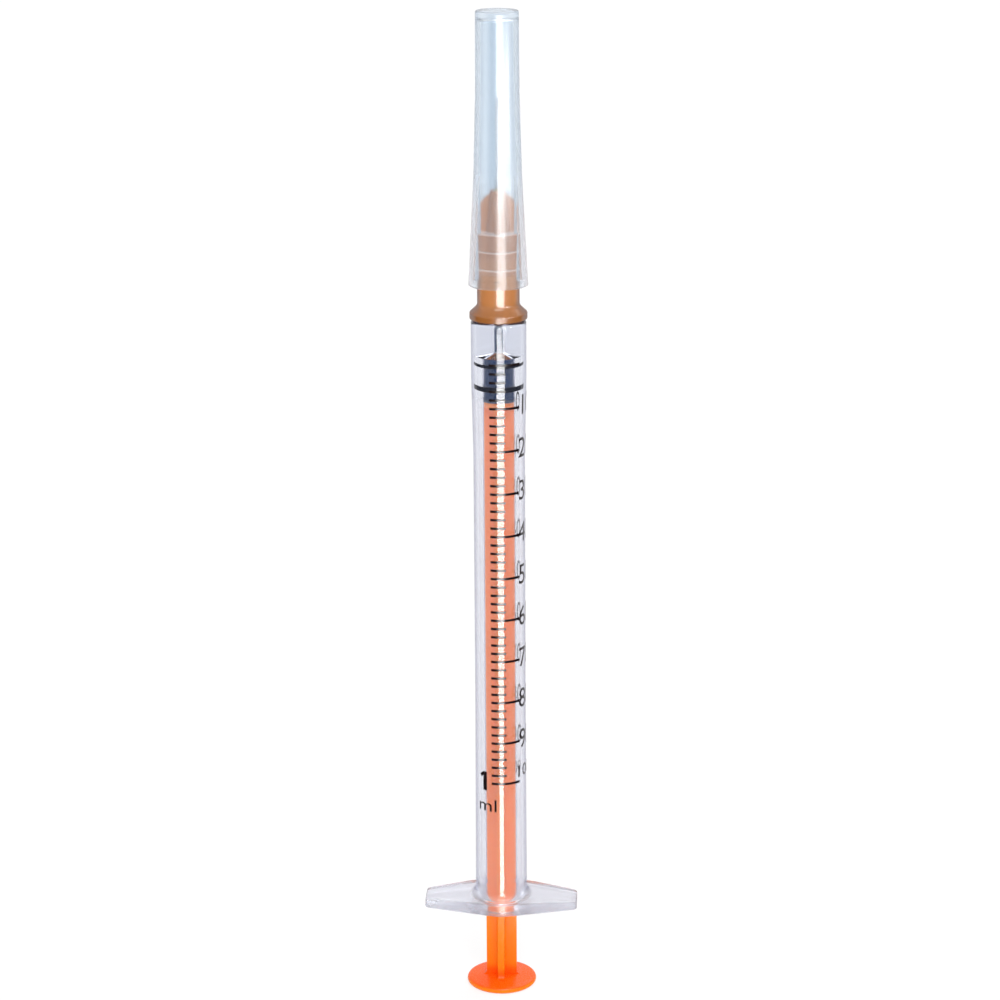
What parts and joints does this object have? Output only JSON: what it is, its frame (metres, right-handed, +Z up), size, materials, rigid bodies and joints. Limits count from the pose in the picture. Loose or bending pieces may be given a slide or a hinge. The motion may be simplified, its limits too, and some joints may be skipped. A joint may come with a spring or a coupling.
{
  "type": "insulin syringe",
  "caption": "Slim clear syringe with a finger flange, a pushed-in orange plunger rod, a slip-on needle and a frosted cap over it.",
  "frame": {"origin": "on the syringe's axis, at the underside of the thumb disc, which is the base that it stands on", "axes": "+Z up the axis from the thumb disc to the needle, +X along the finger flange, -Y is the side with the graduation"},
  "size_m": [0.0222, 0.0104, 0.1428],
  "materials": {
    "barrel_clear": "clear glossy polypropylene, injection moulded",
    "print_ink": "screen-printed black ink",
    "stopper_rubber": "moulded dark elastomer with a silicone sheen",
    "rod_orange": "orange polypropylene, semi-gloss",
    "hub_amber": "translucent amber polypropylene, glossy",
    "cannula_steel": "polished stainless steel tube",
    "adhesive_resin": "cured clear epoxy",
    "cap_frosted": "frosted translucent polypropylene"
  },
  "bodies": {
    "barrel": {"barrel": "barrel_clear", "graduation_marks": "print_ink"},
    "stopper": {"stopper": "stopper_rubber"},
    "plunger_rod": {"plunger_rod": "rod_orange"},
    "needle": {"needle_hub": "hub_amber", "cannula": "cannula_steel", "adhesive": "adhesive_resin"},
    "needle_cap": {"needle_cap": "cap_frosted"}
  },
  "joints": [
    {"name": "stopper_slide", "type": "slide", "parent": "barrel", "child": "stopper", "axis": [0, 0, -1], "range_m": [0, 0.0716]},
    {"name": "rod_spin", "type": "hinge", "parent": "stopper", "child": "plunger_rod", "pos_m": [0, 0, 0.05], "axis": [0, 0, 1], "continuous": true},
    {"name": "needle_pull", "type": "slide", "parent": "barrel", "child": "needle", "axis": [0, 0, 1], "range_m": [0, 0.012]},
    {"name": "cap_pull", "type": "slide", "parent": "needle", "child": "needle_cap", "axis": [0, 0, 1], "range_m": [0, 0.03]}
  ]
}
